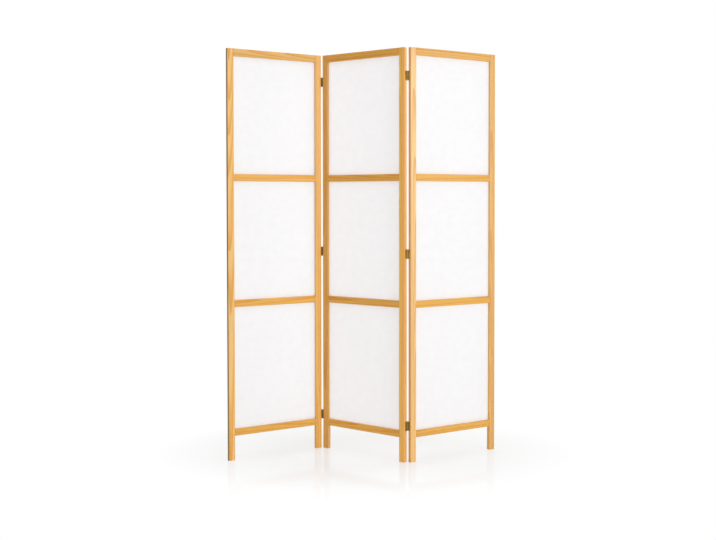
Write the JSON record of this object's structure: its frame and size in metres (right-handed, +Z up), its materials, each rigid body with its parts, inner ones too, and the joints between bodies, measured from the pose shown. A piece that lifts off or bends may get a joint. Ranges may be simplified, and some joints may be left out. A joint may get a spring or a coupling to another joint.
{
  "type": "folding screen",
  "caption": "Shoji folding screen: narrow timber-framed panels of white screen cloth, joined by brass butt hinges so that they stand in a zigzag and fold flat.",
  "frame": {"origin": "on the floor, under the middle of the middle panel, which is the middle of the zigzag", "axes": "+Z up, +X to the right along the row of panels, +Y to the back, so the front faces -Y"},
  "size_m": [1.1166, 0.2312, 1.7],
  "materials": {
    "varnished_pine": "satin clear varnish, honey coloured",
    "screen_cloth": "matt white translucent screen cloth",
    "antique_brass": "antique brass plated hinges and screws"
  },
  "bodies": {
    "middle_panel": {"middle_panel_left_stile": "varnished_pine", "middle_panel_right_stile": "varnished_pine", "middle_panel_bottom_rail": "varnished_pine", "middle_panel_lower_rail": "varnished_pine", "middle_panel_upper_rail": "varnished_pine", "middle_panel_top_rail": "varnished_pine", "middle_panel_lower_pane": "screen_cloth", "middle_panel_centre_pane": "screen_cloth", "middle_panel_upper_pane": "screen_cloth", "left_low_hinge_inner_leaf": "antique_brass", "left_centre_hinge_inner_leaf": "antique_brass", "left_top_hinge_inner_leaf": "antique_brass", "left_low_hinge_pin": "antique_brass", "left_centre_hinge_pin": "antique_brass", "left_top_hinge_pin": "antique_brass", "right_low_hinge_inner_leaf": "antique_brass", "right_centre_hinge_inner_leaf": "antique_brass", "right_top_hinge_inner_leaf": "antique_brass", "right_low_hinge_pin": "antique_brass", "right_centre_hinge_pin": "antique_brass", "right_top_hinge_pin": "antique_brass"},
    "left_panel": {"left_panel_left_stile": "varnished_pine", "left_panel_right_stile": "varnished_pine", "left_panel_bottom_rail": "varnished_pine", "left_panel_lower_rail": "varnished_pine", "left_panel_upper_rail": "varnished_pine", "left_panel_top_rail": "varnished_pine", "left_panel_lower_pane": "screen_cloth", "left_panel_centre_pane": "screen_cloth", "left_panel_upper_pane": "screen_cloth", "left_low_hinge_outer_leaf": "antique_brass", "left_centre_hinge_outer_leaf": "antique_brass", "left_top_hinge_outer_leaf": "antique_brass"},
    "right_panel": {"right_panel_left_stile": "varnished_pine", "right_panel_right_stile": "varnished_pine", "right_panel_bottom_rail": "varnished_pine", "right_panel_lower_rail": "varnished_pine", "right_panel_upper_rail": "varnished_pine", "right_panel_top_rail": "varnished_pine", "right_panel_lower_pane": "screen_cloth", "right_panel_centre_pane": "screen_cloth", "right_panel_upper_pane": "screen_cloth", "right_low_hinge_outer_leaf": "antique_brass", "right_centre_hinge_outer_leaf": "antique_brass", "right_top_hinge_outer_leaf": "antique_brass"}
  },
  "joints": [
    {"name": "left_fold", "type": "hinge", "parent": "middle_panel", "child": "left_panel", "pos_m": [-0.1874, 0.09981, 0.85], "axis": [0, 0, 1], "range_deg": [-62.4, 117.6]},
    {"name": "right_fold", "type": "hinge", "parent": "middle_panel", "child": "right_panel", "pos_m": [0.1874, -0.09981, 0.85], "axis": [0, 0, 1], "range_deg": [-62.4, 117.6]}
  ]
}
